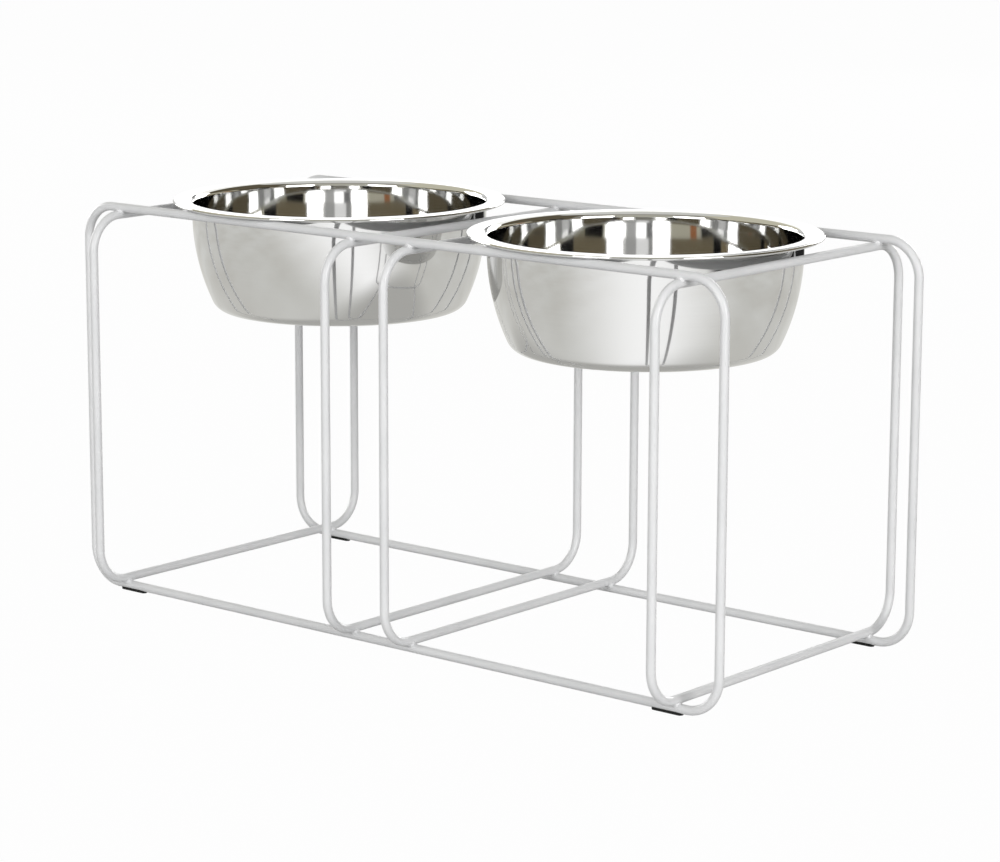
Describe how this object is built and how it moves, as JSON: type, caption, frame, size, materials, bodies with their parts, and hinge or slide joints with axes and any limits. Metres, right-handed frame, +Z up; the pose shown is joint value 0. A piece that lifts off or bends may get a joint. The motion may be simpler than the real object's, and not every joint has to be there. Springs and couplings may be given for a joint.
{
  "type": "elevated pet bowl stand",
  "caption": "Welded wire stand of crossing rounded hoops on rubber feet, holding steel feeding bowls by their rims so that they lift out.",
  "frame": {"origin": "on the floor, under the middle of the stand", "axes": "+X along the stand from the left bowl to the right bowl, +Y from the front to the rear, +Z up"},
  "size_m": [0.5186, 0.2528, 0.2599],
  "materials": {
    "wire_coat": "satin pale grey powder coat",
    "bowl_steel": "mirror-polished stainless steel",
    "foot_rubber": "matt black rubber"
  },
  "bodies": {
    "stand": {"front_long_hoop": "wire_coat", "rear_long_hoop": "wire_coat", "left_end_hoop": "wire_coat", "left_inner_hoop": "wire_coat", "right_inner_hoop": "wire_coat", "right_end_hoop": "wire_coat", "weld_front_top_left_end": "wire_coat", "weld_front_top_left_inner": "wire_coat", "weld_front_top_right_inner": "wire_coat", "weld_front_top_right_end": "wire_coat", "weld_front_bottom_left_end": "wire_coat", "weld_front_bottom_left_inner": "wire_coat", "weld_front_bottom_right_inner": "wire_coat", "weld_front_bottom_right_end": "wire_coat", "weld_rear_top_left_end": "wire_coat", "weld_rear_top_left_inner": "wire_coat", "weld_rear_top_right_inner": "wire_coat", "weld_rear_top_right_end": "wire_coat", "weld_rear_bottom_left_end": "wire_coat", "weld_rear_bottom_left_inner": "wire_coat", "weld_rear_bottom_right_inner": "wire_coat", "weld_rear_bottom_right_end": "wire_coat", "front_left_foot": "foot_rubber", "front_right_foot": "foot_rubber", "rear_left_foot": "foot_rubber", "rear_right_foot": "foot_rubber"},
    "left_bowl": {"left_bowl": "bowl_steel"},
    "right_bowl": {"right_bowl": "bowl_steel"}
  },
  "joints": [
    {"name": "left_bowl_lift", "type": "slide", "parent": "stand", "child": "left_bowl", "axis": [0, 0, 1], "range_m": [0, 0.1]},
    {"name": "right_bowl_lift", "type": "slide", "parent": "stand", "child": "right_bowl", "axis": [0, 0, 1], "range_m": [0, 0.1]}
  ]
}
